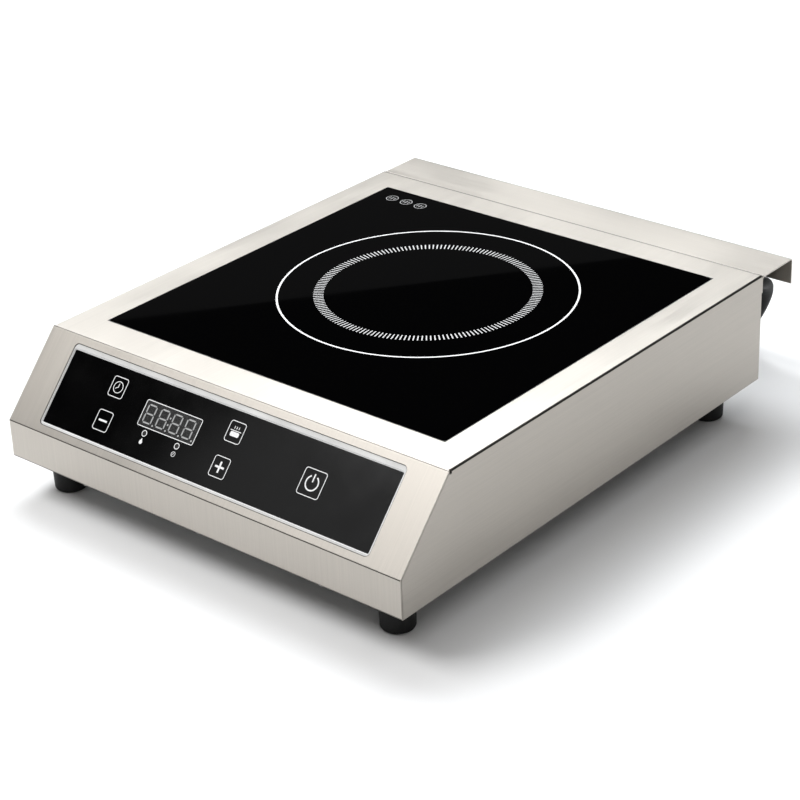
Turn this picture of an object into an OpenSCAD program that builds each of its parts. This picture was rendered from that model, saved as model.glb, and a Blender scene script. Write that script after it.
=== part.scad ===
// Single-zone countertop induction cooker with a folded steel housing.
// X runs to the right seen from the front, Y to the rear and Z up.
// The origin is on the floor, under the middle of the housing's width and whole depth.

/* [Housing] */
// Width of the housing over its side panels
body_w = 328; // [310:1:360]
// Depth of the housing from the front face to the rear wall
body_d = 375; // [370:1:400]
// Height of the housing from its bottom edge to the top plate
body_h = 76.4; // [74:0.2:90]
// Height of the upright front face
front_h = 26.6; // [22:0.2:30]
// Depth that the sloping control face covers
slope_run = 45.4; // [44:0.2:50]
// Thickness of the sheet steel
sheet_t = 1; // [0.8:0.1:1.2]
// Outer radius of the folds
bend_r = 1.4; // [1.2:0.1:2]
// Width of the folded flanges
flange_w = 12; // [10:1:14]

/* [Rear hood] */
// How far the hood stands out behind the rear wall
hood_out = 38; // [30:1:45]
// How far the hood's lip hangs down
hood_drop = 18.5; // [12:0.5:24]
// How far the hood's top lies below the top plate
hood_step = 1.1; // [0.5:0.1:2]

/* [Glass] */
// Side of the square glass-ceramic plate
glass_side = 280; // [270:1:284]
// Thickness of the glass
glass_t = 4; // [3:0.5:5]
// Distance from the front face to the glass
glass_front = 71.5; // [68:0.5:76]
// How far the glass stands above the top plate
glass_proud = 0.5; // [0:0.1:1]
// Distance from the front face to the middle of the cooking zone
zone_y = 227; // [215:1:230]

/* [Feet] */
// Height of the housing's bottom edge above the floor
foot_h = 25; // [20:1:30]
// Radius of a foot at its top
foot_r = 11.4; // [10:0.1:12]
// Distance of the feet from the middle plane
foot_x = 139.5; // [130:0.5:140]
// Distance from the front face to the front feet
foot_front = 24.7; // [24:0.1:30]
// Distance from the front face to the rear feet
foot_rear = 350.8; // [345:0.1:351]

/* [Controls] */
// Width of the opening in the control face
panel_w = 276.8; // [270:0.2:290]
// Height of the opening along the slope
panel_h = 57.1; // [50:0.1:58]
// Distance from the lower fold to the opening
panel_low = 5; // [4:0.1:6]
// Sideways shift of the control panel
panel_x = -0.8; // [-2:0.1:2]
// Width of a small key
key_w = 13.2; // [12:0.1:14]
// Height of a small key
key_h = 14; // [12:0.1:15]
// Side of the power key
power_key = 17.4; // [15:0.1:18]
// Inward travel of a key
key_travel = 0.4; // [0.3:0.1:0.5]
// Gap between a key and its window
key_gap = 0.3; // [0.25:0.05:0.4]

/* [Induction coil] */
// Outer radius of the winding
coil_r = 92; // [80:1:95]
// Inner radius of the winding
coil_inner_r = 26; // [22:1:34]
// Number of turns of litz wire
coil_turns = 16; // [12:1:18]

/* [Fan] */
// Side of the fan's frame
fan_side = 120; // [92:1:120]
// Height of the fan's frame
fan_h = 25.4; // [20:0.2:25.4]
// Number of blades
fan_blades = 7; // [5:1:9]
// Radial gap between the shaft and its bearing
fan_fit = 0.05; // [0.02:0.01:0.1]

/* [Mains cord] */
// Diameter of the cord
cord_d = 8.6; // [7.5:0.1:9]
// Radius of the stored coil at the middle of its turns
cord_coil_r = 47.3; // [46.5:0.1:48]
// Sideways place of the cord's exit
cord_x = 141; // [136:1:147]
// Height of the cord's exit above the bottom edge
cord_z = 52; // [48:0.5:52]

/* [Hidden] */
$fn = 48;
front_y = -(body_d + hood_out) / 2;
rear_y = front_y + body_d;
z0 = foot_h;
top_z = z0 + body_h;
half_w = body_w / 2;
slope_rise = body_h - front_h;
slope_angle = atan2(slope_rise, slope_run);
glass_top = body_h + glass_proud;
glass_low = glass_top - glass_t;
seal_t = 0.5;
seal_gap = 0.7;
ledge_top = glass_low - seal_t;
ledge_w = 8;
well_side = glass_side + 2 * seal_gap;
glass_mid = glass_front + glass_side / 2;
zone_off = zone_y - glass_mid;
hood_top = body_h - hood_step;
base_z = sheet_t;
deck_z = base_z + sheet_t;
// Depths of the control layers below the slope's face
bezel_face = -0.4;
film_face = -1;
film_t = 0.8;
plate_t = 2;
board_face = -11;
board_t = 1.6;
panel_corner = 3.4;
film_low = 1.7;
film_w = panel_w - 2.2;
film_h = panel_h - 5.3;
film_mid = panel_low + film_low + film_h / 2;
// Keys: name place as [across, up the slope] and size
row_low = 21.8;
row_high = 44.8;
col_left = -90.9;
col_mid = 10.5;
timer_at = [col_left, row_high];
minus_at = [col_left, row_low];
function_at = [col_mid, row_high];
plus_at = [col_mid, row_low];
power_at = [78.8, 33.1];
small_key = [key_w, key_h];
big_key = [power_key, power_key];
keys = [
    [timer_at, small_key],
    [minus_at, small_key],
    [function_at, small_key],
    [plus_at, small_key],
    [power_at, big_key]
];
display_at = [-40.1, 36.2];
display_size = [47, 16.4];
led_at = [[-55.1, 24], [-27, 24]];
led_r = 1.5;
// Inner layout, measured from the front face and the bottom edge
fan_at = [-92, 215];
fan_low = deck_z + 4;
fan_bore = fan_side / 2 - 2.5;
hub_r = 20;
blade_r = fan_bore - 1.5;
shaft_r = 2;
pcb_at = [8, 62];
pcb_size = [142, 276, 1.6];
pcb_low = deck_z + 8;
pcb_top = pcb_low + pcb_size[2];
bracket_z = 52;
bracket_y = [zone_y - 62, zone_y + 62];
carrier_low = bracket_z + 5;
carrier_t = 5;
coil_low = carrier_low + carrier_t;
strand_r = (coil_r - coil_inner_r) / coil_turns / 2;
// Free cord: hand-set route from the strain relief to the stored coil, and from it to the plug
relief_tail = 24;
cord_r = cord_d / 2;
coil_at = [6, 235.7];
outer_turn_r = cord_coil_r + cord_r;
cord_route = [
    [cord_x, rear_y + relief_tail, z0 + cord_z],
    [140.8, 200, 76.7], [140.1, 207.2, 75.2], [138.7, 214.2, 72.4], [136.8, 220.3, 68.4],
    [134.4, 225.2, 63.3], [131.6, 228.9, 57.3], [128.3, 231.6, 50.4], [124.2, 233.8, 42.4],
    [119, 236.3, 33.6], [112.6, 239.7, 24.6], [105, 244.1, 16.4], [96.6, 249.4, 10.2],
    [87.2, 255.4, 6], [76.8, 261.6, 4.3], [65, 268, 4.3], [53, 273.8, 4.3],
    [41.4, 278.8, 4.3], [29.8, 282.9, 4.3], [18, 286, 4.3], [6, 287.3, 4.3]
];
tail_route = [
    [-27.2, 275.2, 21.5], [-34.1, 269.4, 21.4], [-41, 263.6, 20.7], [-47.7, 258, 18.8],
    [-54, 252.7, 15.9], [-59.4, 248.1, 13.7], [-64.5, 243.8, 13]
];
// Plug: middle of its front face, its turn, its body and the tapered tail behind it
plug_at = [-108.9, 206.5];
plug_turn = 40;
plug_r = 13;
plug_body_l = 34;
plug_tail_l = 24;
plug_waist_r = 12;
// Flat pins either side of the plug's middle, and the round earth pin below them
blade_size = [18, 1.5, 6.4];
blade_y = 6.35;
blade_drop = 0.3;
earth_pin_r = 2.4;
earth_pin_l = 20;
earth_pin_drop = 8;
pin_root = 0.2;

// ---------- helpers ----------

// Point of a fold rounded with radius r; a, b and c are three corners in a row
function fold(a, b, c, r, steps = 4) =
    let (u = (a - b) / norm(a - b), v = (c - b) / norm(c - b))
    let (half = acos(u * v) / 2, m = (u + v) / norm(u + v))
    let (o = b + m * r / sin(half), p = b + u * r / tan(half), q = b + v * r / tan(half))
    let (a0 = atan2(p[1] - o[1], p[0] - o[0]), a1 = atan2(q[1] - o[1], q[0] - o[0]))
    let (turn = (a1 - a0 + 540) % 360 - 180)
    [for (i = [0:steps]) o + r * [cos(a0 + turn * i / steps), sin(a0 + turn * i / steps)]];

// Open path with each inner corner rounded
function folded(path, r) = [
    for (i = [0:len(path) - 1])
        each (i == 0 || i == len(path) - 1)
            ? [path[i]]
            : fold(path[i - 1], path[i], path[i + 1], r)
];

function left_of(a, b) = [a[1] - b[1], b[0] - a[0]] / norm(b - a);

// The same path moved sideways by d to its left, with mitred corners
function beside(path, d) = [
    for (i = [0:len(path) - 1])
        let (n1 = left_of(path[max(i - 1, 0)], path[max(i, 1)]))
        let (n2 = left_of(path[min(i, len(path) - 2)], path[min(i + 1, len(path) - 1)]))
        path[i] + (n1 + n2) * d / (1 + n1 * n2)
];

function reversed(path) = [for (i = [len(path) - 1:-1:0]) path[i]];

// Folded sheet seen end on; the material lies to the right of the path
module sheet_outline(path, t = sheet_t) {
    outer = folded(path, bend_r);
    polygon(concat(outer, reversed(beside(outer, -t))));
}

// A profile in [depth, height] run along X
module along_x(x0, x1) {
    translate([x0, front_y, z0])
        rotate([90, 0, 90])
            linear_extrude(x1 - x0)
                children();
}

// Housing coordinates: depth from the front face and height from the bottom edge
module in_housing() {
    translate([0, front_y, z0])
        children();
}

// Control face coordinates: across, up the slope and out of it
module on_slope() {
    translate([0, front_y, z0 + front_h])
        rotate([slope_angle, 0, 0])
            children();
}

module rounded_rect(size, r) {
    union() {
        square([size[0] - 2 * r, size[1]], center = true);
        square([size[0], size[1] - 2 * r], center = true);
        for (sx = [-1, 1], sy = [-1, 1])
            translate([sx * (size[0] / 2 - r), sy * (size[1] / 2 - r)])
                circle(r);
    }
}

module slot(length, width, depth) {
    union() {
        translate([0, 0, depth / 2])
            cube([width, length - width, depth], center = true);
        for (s = [-1, 1])
            translate([0, s * (length - width) / 2, 0])
                cylinder(r = width / 2, h = depth);
    }
}

// Pan-head screw with a cross recess; the head's seat is at the origin, shank downwards
module pan_screw(shank_r, length, head_r, head_h) {
    difference() {
        union() {
            cylinder(r = head_r, h = head_h);
            translate([0, 0, -length])
                cylinder(r = shank_r, h = length + 0.1);
        }
        for (a = [0, 90])
            rotate(a)
                translate([-head_r * 0.6, -0.4, head_h * 0.45])
                    cube([head_r * 1.2, 0.8, head_h]);
    }
}

// Point on the smooth curve through the route r between points i and i + 1
function at_route(r, i, t) =
    let (a = r[max(i - 1, 0)], b = r[i], c = r[i + 1], d = r[min(i + 2, len(r) - 1)])
    0.5 * (2 * b + (c - a) * t + (2 * a - 5 * b + 4 * c - d) * t * t
        + (3 * b - a - 3 * c + d) * t * t * t);

// Route with extra points on its smooth curve
function smooth(r, steps) = [
    for (i = [0:len(r) - 2], s = [0:steps - 1])
        at_route(r, i, s / steps),
    r[len(r) - 1]
];

function unit(v) = v / norm(v);

function heading(line, i) = unit(line[min(i + 1, len(line) - 1)] - line[max(i - 1, 0)]);

// Ring of points round a line, square to its heading
function ring(line, i, r, sides) =
    let (h = heading(line, i), s = unit(cross(h, [0.31, 0.2, 1])), u = cross(s, h))
    [for (k = [0:sides - 1]) line[i] + r * (cos(k * 360 / sides) * s + sin(k * 360 / sides) * u)];

// Round tube along a line of points
module tube(line, r, sides) {
    n = len(line);
    polyhedron(
        points = [for (i = [0:n - 1]) each ring(line, i, r, sides)],
        faces = concat(
            [[for (k = [0:sides - 1]) k]],
            [for (i = [0:n - 2], k = [0:sides - 1])
                let (a = i * sides, j = (k + 1) % sides)
                each [
                    [a + k, a + sides + k, a + sides + j],
                    [a + k, a + sides + j, a + j]
                ]],
            [[for (k = [sides - 1:-1:0]) (n - 1) * sides + k]]
        )
    );
}

// ---------- folded housing ----------

cover_path = [
    [flange_w, 0], [0, 0], [0, front_h], [slope_run, body_h], [body_d, body_h],
    [body_d, body_h - flange_w]
];
seam = 0.3;
notch_y = slope_run + 2;
// Side silhouette, set back behind the front sheet by its thickness and the seam
side_edge = beside([[0, 0], [0, front_h], [slope_run, body_h], [body_d, body_h]], -sheet_t - seam);
tab_path = beside([[0, 0], [0, front_h], [slope_run, body_h], [body_d, body_h]], -sheet_t);

// Side wall folded down from the top, with its bottom flange and the tab behind the seam
module side_wall() {
    along_x(half_w - sheet_t, half_w)
        polygon([
            side_edge[0], side_edge[1], side_edge[2], [body_d, body_h - bend_r], [body_d, 0]
        ]);
    along_x(half_w - flange_w, half_w - sheet_t + 0.05)
        sheet_outline([
            [sheet_t, flange_w], tab_path[1], tab_path[2], [slope_run + flange_w, body_h - sheet_t]
        ]);
    in_housing()
        translate([half_w - flange_w, flange_w + 0.5, 0])
            cube([flange_w - 0.5, body_d - 2 * flange_w - 1, sheet_t]);
    translate([half_w - bend_r, front_y + notch_y, top_z - bend_r])
        rotate([-90, 0, 0])
            linear_extrude(body_d - notch_y)
                intersection() {
                    difference() {
                        circle(bend_r);
                        circle(bend_r - sheet_t);
                    }
                    translate([0, -3])
                        square([3, 3]);
                }
}

// Glass well: walls down from the cut-out and the ledge that carries the glass
module glass_well() {
    in_housing()
        translate([0, glass_mid, ledge_top - sheet_t])
            difference() {
                linear_extrude(body_h - ledge_top)
                    square(well_side + 2 * sheet_t, center = true);
                translate([0, 0, sheet_t])
                    linear_extrude(body_h)
                        square(well_side, center = true);
                translate([0, 0, -1])
                    linear_extrude(body_h)
                        square(well_side - 2 * ledge_w, center = true);
            }
}

// Front face, control slope, top, sides and rear fold in one sheet, with the glass well
module top_cover() {
    color("gainsboro")
    difference() {
        union() {
            along_x(-half_w, half_w)
                sheet_outline([each [for (i = [0:3]) cover_path[i]], [notch_y - 1, body_h]]);
            along_x(-half_w + bend_r, half_w - bend_r)
                sheet_outline(cover_path);
            for (side = [0, 1])
                mirror([side, 0, 0])
                    side_wall();
            glass_well();
        }
        in_housing()
            translate([0, glass_mid, body_h - 2 * sheet_t])
                linear_extrude(4 * sheet_t)
                    square(well_side, center = true);
        on_slope()
            translate([panel_x, panel_low + panel_h / 2, -3 * sheet_t])
                linear_extrude(6 * sheet_t)
                    rounded_rect([panel_w, panel_h], panel_corner);
        for (side = [-1, 1])
            in_housing()
                translate([side * (half_w - 0.2), notch_y - 0.4, body_h - 2.6])
                    cylinder(r = 1.1, h = 4);
        for (x = hood_rivet_x)
            in_housing()
                translate([x, body_d - 4, rivet_z])
                    rotate([-90, 0, 0])
                        cylinder(r = 2, h = 8);
        for (p = base_screw_at)
            if (p[1] < body_d - flange_w)
                in_housing()
                    translate([p[0], p[1], -1])
                        cylinder(r = 2, h = 4);
    }
}

rear_in = half_w - sheet_t - 0.1;
hood_rivet_x = [-120, -40, 40, 120];
rivet_z = body_h - 8;
base_screw_at = [
    for (x = [-100, 0, 100], y = [6, body_d - 6 - sheet_t])
        [x, y],
    for (x = [-1, 1], y = [90, 290])
        [x * (half_w - 6), y]
];
slot_pitch = 8;

// Rear wall with exhaust slots and the cord hole
module rear_panel() {
    color("silver")
    difference() {
        union() {
            in_housing()
                translate([-rear_in, body_d - 2 * sheet_t, 0])
                    cube([2 * rear_in, sheet_t, body_h - sheet_t - 0.6]);
            in_housing()
                translate([-rear_in + flange_w, body_d - flange_w - sheet_t / 2, 0])
                    cube([2 * rear_in - 2 * flange_w, flange_w - sheet_t, sheet_t]);
        }
        for (i = [-15:13], row = [0, 1])
            in_housing()
                translate([i * slot_pitch, body_d + 2, 24 + row * 22])
                    rotate([90, 0, 0])
                        slot(18, 3.6, 8);
        in_housing()
            translate([cord_x, body_d + 2, cord_z])
                rotate([90, 0, 0])
                    cylinder(r = 7.5, h = 8);
        for (x = hood_rivet_x)
            in_housing()
                translate([x, body_d - 6, rivet_z])
                    rotate([-90, 0, 0])
                        cylinder(r = 2, h = 8);
        for (p = base_screw_at)
            if (p[1] > body_d - flange_w)
                in_housing()
                    translate([p[0], p[1], -1])
                        cylinder(r = 2, h = 4);
    }
}

fan_hole_at = [for (sx = [-1, 1], sy = [-1, 1]) [fan_at[0] + sx * 52.5, fan_at[1] + sy * 52.5]];
foot_at = [
    for (y = [foot_front, foot_rear], sx = [-1, 1])
        [sx * foot_x, y]
];
stud_at = [78, 353];
standoff_at = [
    for (x = [pcb_at[0] + 6, pcb_at[0] + pcb_size[0] - 6])
        for (y = [pcb_at[1] + 6, pcb_at[1] + pcb_size[1] / 2, pcb_at[1] + pcb_size[1] - 6])
            [x, y]
];

// Bottom tray with the fan inlet, cooling slots and fixing holes
module base_plate() {
    edge = sheet_t + 0.2;
    color("darkgray")
    in_housing()
    difference() {
        translate([-half_w + edge, edge, base_z])
            cube([body_w - 2 * edge, body_d - 2 * edge - sheet_t, sheet_t]);
        for (i = [-5:5])
            translate([fan_at[0] + i * 9, fan_at[1], 0])
                slot(2 * sqrt(54 * 54 - (i * 9) * (i * 9)) - 4, 4, 4);
        for (i = [0:9])
            translate([40 + i * 9, 30, 0])
                slot(30, 4, 4);
        for (i = [0:9])
            translate([-121 + i * 9, 60, 0])
                slot(40, 4, 4);
        for (p = foot_at)
            translate([p[0], p[1], 0])
                cylinder(r = 2.2, h = 4);
        for (p = concat(base_screw_at, fan_hole_at, standoff_at))
            translate([p[0], p[1], 0])
                cylinder(r = 1.8, h = 4);
        translate([stud_at[0], stud_at[1], 0])
            cylinder(r = 2, h = 4);
    }
}

// Exhaust hood: a bent sheet behind the top plate, open below and at its ends
module rear_hood() {
    color("silver")
    difference() {
        along_x(-half_w, half_w)
            sheet_outline([
                [body_d + sheet_t, body_h - flange_w - 1], [body_d + sheet_t, hood_top - sheet_t],
                [body_d + hood_out - sheet_t, hood_top - sheet_t],
                [body_d + hood_out - sheet_t, hood_top - hood_drop]
            ], -sheet_t);
        for (x = hood_rivet_x)
            in_housing()
                translate([x, body_d - 2, rivet_z])
                    rotate([-90, 0, 0])
                        cylinder(r = 2, h = 8);
    }
}

// ---------- glass ----------

module glass_seal() {
    color("black")
    in_housing()
        translate([0, glass_mid, ledge_top])
            difference() {
                linear_extrude(body_h - ledge_top)
                    square(well_side, center = true);
                translate([0, 0, seal_t])
                    linear_extrude(glass_t + 2)
                        rounded_rect([glass_side, glass_side], 2);
                translate([0, 0, -1])
                    linear_extrude(6)
                        square(well_side - 2 * ledge_w, center = true);
            }
}

module ceramic_glass() {
    color("black")
    in_housing()
        translate([0, glass_mid, glass_low])
            union() {
                linear_extrude(glass_t - 0.5)
                    rounded_rect([glass_side, glass_side], 2);
                linear_extrude(glass_t)
                    rounded_rect([glass_side - 1, glass_side - 1], 1.5);
            }
}

// ---------- feet and fasteners ----------

foot_bottom_r = foot_r - 0.6;
foot_fillet = 2;

module foot(i) {
    color("#161616")
    in_housing()
        translate([foot_at[i][0], foot_at[i][1], -foot_h])
            rotate_extrude()
                difference() {
                    union() {
                        polygon([
                            [0, 0], [foot_bottom_r - foot_fillet, 0],
                            [foot_bottom_r, foot_fillet],
                            [foot_r, foot_h + base_z], [0, foot_h + base_z]
                        ]);
                        translate([foot_bottom_r - foot_fillet, foot_fillet])
                            circle(foot_fillet);
                    }
                    translate([-1, -1])
                        square([6, 13]);
                    translate([-1, 0])
                        square([3.2, foot_h + 4]);
                    translate([-6, -6])
                        square([6, foot_h + 12]);
                }
}

module foot_front_left() { foot(0); }

module foot_front_right() { foot(1); }

module foot_rear_left() { foot(2); }

module foot_rear_right() { foot(3); }

module foot_screws() {
    color("dimgray")
    in_housing()
        for (p = foot_at)
            translate([p[0], p[1], 0]) {
                translate([0, 0, 12 - foot_h])
                    mirror([0, 0, 1])
                        pan_screw(2, foot_h - 6, 4, 2.4);
                translate([0, 0, deck_z])
                    difference() {
                        cylinder(r = 4, h = 3.2, $fn = 6);
                        translate([0, 0, -1])
                            cylinder(r = 2, h = 6);
                    }
            }
}

module base_screws() {
    color("dimgray")
    in_housing()
        for (p = base_screw_at)
            translate([p[0], p[1], 0])
                mirror([0, 0, 1])
                    pan_screw(1.7, 6, 3.4, 1.8);
}

module hood_rivets() {
    color("lightgray")
    in_housing()
        for (x = hood_rivet_x)
            translate([x, body_d + sheet_t, rivet_z])
                rotate([-90, 0, 0])
                    union() {
                        intersection() {
                            translate([0, 0, -3.4])
                                sphere(5);
                            cylinder(r = 3.6, h = 3);
                        }
                        translate([0, 0, -4.2])
                            cylinder(r = 1.9, h = 4.4);
                        translate([0, 0, -4.2])
                            cylinder(r = 2.8, h = 1.2);
                    }
}

// ---------- control panel ----------

// Windows for the keys, grown by a gap
module key_windows(grow) {
    for (k = keys)
        translate(k[0])
            rounded_rect([k[1][0] + 2 * grow, k[1][1] + 2 * grow], 2 + grow);
}

module control_bezel() {
    color("whitesmoke")
    on_slope()
    difference() {
        union() {
            translate([panel_x, panel_low + panel_h / 2, film_face - film_t - plate_t])
                linear_extrude(bezel_face - film_face + film_t + plate_t)
                    rounded_rect([panel_w, panel_h], panel_corner);
            translate([panel_x, panel_low + panel_h / 2, film_face - film_t - plate_t])
                linear_extrude(1.4)
                    rounded_rect([panel_w + 5, panel_h + 3.6], 2);
        }
        translate([panel_x, film_mid, -10])
            linear_extrude(20)
                rounded_rect([film_w, film_h], 1.4);
    }
}

module control_film() {
    color("black")
    on_slope()
        translate([0, 0, film_face - film_t])
            linear_extrude(film_t)
                difference() {
                    translate([panel_x, film_mid])
                        rounded_rect([film_w, film_h], 1.4);
                    key_windows(key_gap);
                    translate(display_at)
                        rounded_rect(display_size, 1);
                    for (p = led_at)
                        translate(p)
                            circle(led_r);
                }
}

board_w = 236;
board_h = 46;
board_x = -6;
pillar_at = [
    for (x = [-114, -70, 40, 102], y = [-1, 1])
        [board_x + x + 6, film_mid + y * 19.5]
];

// Stiff plate behind the film, with pillars for the control board
module control_plate() {
    color("#303030")
    on_slope()
        difference() {
            union() {
                translate([0, 0, film_face - film_t - plate_t])
                    linear_extrude(plate_t)
                        translate([panel_x, film_mid])
                            rounded_rect([film_w, film_h], 1.4);
                for (p = pillar_at)
                    translate([p[0], p[1], board_face])
                        cylinder(r = 3, h = film_face - film_t - board_face - 0.5);
            }
            translate([0, 0, -8])
                linear_extrude(8)
                    key_windows(key_gap);
            translate([display_at[0], display_at[1], -8])
                linear_extrude(8)
                    square([display_size[0] + 0.4, display_size[1] + 0.4], center = true);
            for (p = led_at)
                translate([p[0], p[1], -8])
                    cylinder(r = led_r + 0.2, h = 8);
            for (p = pillar_at)
                translate([p[0], p[1], board_face - 1])
                    cylinder(r = 1.1, h = 6);
        }
}

module display_window() {
    color("#2a2a2a")
    on_slope()
        translate([display_at[0], display_at[1], film_face - film_t])
            linear_extrude(film_t)
                rounded_rect(display_size, 1);
}

// Four-digit LED display block on the control board
module display_module() {
    color("#404040")
    on_slope()
        translate([display_at[0], display_at[1], board_face])
            union() {
                linear_extrude(film_face - film_t - 0.2 - board_face)
                    square([display_size[0] - 1, display_size[1] - 1], center = true);
                for (i = [-5:5], s = [-1, 1])
                    translate([i * 2.54, s * 6, -board_t - 1])
                        cylinder(r = 0.3, h = 2, $fn = 16);
            }
}

module control_board() {
    color("darkgreen")
    on_slope()
        translate([0, 0, board_face - board_t])
            linear_extrude(board_t)
                difference() {
                    translate([board_x, film_mid])
                        square([board_w, board_h], center = true);
                    for (p = pillar_at)
                        translate(p)
                            circle(1.3);
                    for (i = [-5:5], s = [-1, 1])
                        translate([display_at[0] + i * 2.54, display_at[1] + s * 6])
                            circle(0.35, $fn = 16);
                }
}

module indicator_leds() {
    color("tomato")
    on_slope()
        for (p = led_at)
            translate([p[0], p[1], board_face])
                union() {
                    cylinder(r = led_r, h = film_face - board_face);
                    cylinder(r = led_r + 0.5, h = 1.2);
                }
}

switch_h = 3.4;
button_h = 1;

module tact_switches() {
    color("dimgray")
    on_slope()
        for (k = keys)
            translate([k[0][0], k[0][1], board_face])
                union() {
                    linear_extrude(switch_h)
                        square(6, center = true);
                    cylinder(r = 1.75, h = switch_h + button_h);
                }
}

module control_screws() {
    color("silver")
    on_slope()
        for (p = pillar_at)
            translate([p[0], p[1], board_face - board_t])
                mirror([0, 0, 1])
                    pan_screw(1.1, 6, 2.2, 1.4);
}

module buzzer() {
    color("black")
    on_slope()
        translate([88, film_mid - 2, board_face])
            translate([14, 0, 0])
                difference() {
                    cylinder(r = 6, h = 7);
                    translate([0, 0, 6])
                        cylinder(r = 1, h = 3);
                }
}

// Key with its pad in the film, a collar behind the plate and a stem to its switch
module key(k) {
    pad_low = film_face - film_t - plate_t - key_gap;
    stem_low = board_face + switch_h + button_h + key_travel + 0.2;
    color("#101010")
    on_slope()
        translate([k[0][0], k[0][1], 0])
            union() {
                translate([0, 0, pad_low - 0.1])
                    linear_extrude(film_face - pad_low + 0.1)
                        rounded_rect(k[1], 2);
                translate([0, 0, pad_low - 1])
                    linear_extrude(1)
                        rounded_rect([k[1][0] + 1.6, k[1][1] + 1.6], 2.5);
                translate([0, 0, stem_low])
                    cylinder(r = 2.2, h = pad_low - stem_low);
            }
}

module key_timer() { key(keys[0]); }

module key_minus() { key(keys[1]); }

module key_function() { key(keys[2]); }

module key_plus() { key(keys[3]); }

module key_power() { key(keys[4]); }

// Flat cable from the control board to the power board
module ribbon_cable() {
    top = [31, 21];
    path = [
        top, [40, 14], [58, 17], [72, 21], [76, pcb_top + 6], [76, pcb_top]
    ];
    color("lightgray")
    union() {
        along_x(60, 80)
            sheet_outline(path, 1);
        along_x(59, 81)
            translate([73, pcb_top])
                square([7, 5]);
    }
}

// ---------- induction coil ----------

module at_zone(z) {
    in_housing()
        translate([0, zone_y, z])
            children();
}

module mica_sheet() {
    color("tan")
    at_zone(glass_low - 0.6)
        linear_extrude(0.6)
            difference() {
                translate([0, -zone_off])
                    square(236, center = true);
                circle(12);
            }
}

module induction_coil() {
    color("peru")
    at_zone(coil_low)
        rotate_extrude($fn = 96)
            union() {
                for (i = [0:coil_turns - 1])
                    translate([coil_inner_r + (2 * i + 1) * strand_r, 1.04 * strand_r])
                        circle(strand_r * 1.02, $fn = 24);
                translate([coil_inner_r + strand_r, 0.3 * strand_r])
                    square([coil_r - coil_inner_r - 2 * strand_r, 1.4 * strand_r]);
            }
}

bar_len = 62;
bar_w = 12;
bar_count = 8;

module coil_carrier() {
    color("ivory")
    at_zone(carrier_low)
        difference() {
            union() {
                cylinder(r = coil_r + 4, h = carrier_t);
                difference() {
                    cylinder(r = coil_r + 4, h = carrier_t + 4);
                    translate([0, 0, carrier_t])
                        cylinder(r = coil_r + 1.6, h = 8);
                }
            }
            translate([0, 0, -1])
                cylinder(r = 15, h = 12);
            for (i = [0:bar_count - 1])
                rotate(i * 360 / bar_count)
                    translate([coil_inner_r, -bar_w / 2 - 0.2, -1])
                        cube([bar_len + 0.4, bar_w + 0.4, 5]);
            for (i = [0:bar_count - 1], r = [40, 64])
                rotate((i + 0.5) * 360 / bar_count)
                    translate([r, 0, -1])
                        cylinder(r = 7, h = 12);
        }
}

module ferrite_bars() {
    color("#3c3c40")
    at_zone(carrier_low)
        for (i = [0:bar_count - 1])
            rotate(i * 360 / bar_count)
                translate([coil_inner_r + 0.2, -bar_w / 2, 0])
                    cube([bar_len, bar_w, 4]);
}

// Temperature sensor pressed against the glass, in its sprung cup
module glass_sensor() {
    color("white")
    at_zone(0)
        rotate_extrude()
            polygon([
                [0, carrier_low], [14.8, carrier_low], [14.8, carrier_low + 2],
                [8, carrier_low + 2], [8, glass_low - 3], [10, glass_low - 3],
                [10, glass_low], [0, glass_low]
            ]);
}

module coil_bracket(y) {
    leg_x = well_side / 2 - ledge_w - 1.5;
    foot_x2 = well_side / 2 - 0.5;
    ledge_low = ledge_top - sheet_t;
    color("lightsteelblue")
    in_housing()
        translate([0, y + 10, 0])
            rotate([90, 0, 0])
                linear_extrude(20)
                    sheet_outline([
                        [-foot_x2, ledge_low - sheet_t], [-leg_x, ledge_low - sheet_t],
                        [-leg_x, bracket_z - sheet_t], [leg_x, bracket_z - sheet_t],
                        [leg_x, ledge_low - sheet_t], [foot_x2, ledge_low - sheet_t]
                    ], -sheet_t);
}

module coil_bracket_front() { coil_bracket(bracket_y[0]); }

module coil_bracket_rear() { coil_bracket(bracket_y[1]); }

module coil_spacers() {
    color("orangered")
    in_housing()
        for (y = bracket_y, sx = [-1, 1])
            translate([sx * 56, y, bracket_z])
                difference() {
                    cylinder(r = 6, h = carrier_low - bracket_z);
                    translate([0, 0, -1])
                        cylinder(r = 2, h = 12);
                }
}

module coil_leads() {
    out_x = coil_r + 24;
    color("peru")
    in_housing()
        for (y = [zone_y - 22, zone_y - 8])
            tube(smooth([
                [coil_r + 5, y, coil_low - 4], [coil_r + 14, y, coil_low - 6],
                [out_x - 3, y, coil_low - 14], [out_x, y, 34], [out_x, y, pcb_top]
            ], 2), 2.2, 8);
}

// ---------- power electronics ----------

module power_board() {
    color("darkgreen")
    in_housing()
        translate([pcb_at[0], pcb_at[1], pcb_low])
            difference() {
                cube(pcb_size);
                for (p = standoff_at)
                    translate([p[0] - pcb_at[0], p[1] - pcb_at[1], -1])
                        cylinder(r = 1.8, h = 4);
            }
}

module board_standoffs() {
    color("goldenrod")
    in_housing()
        for (p = standoff_at)
            translate([p[0], p[1], 0])
                union() {
                    translate([0, 0, deck_z])
                        cylinder(r = 3.2, h = pcb_low - deck_z, $fn = 6);
                    translate([0, 0, base_z - 1.2])
                        cylinder(r = 2.8, h = 1.2);
                    translate([0, 0, base_z - 0.1])
                        cylinder(r = 1.7, h = pcb_top - base_z + 0.2);
                    translate([0, 0, pcb_top])
                        cylinder(r = 2.8, h = 1.6);
                }
}

sink_at = [20, 150];
sink_size = [64, 120, 34];

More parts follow.
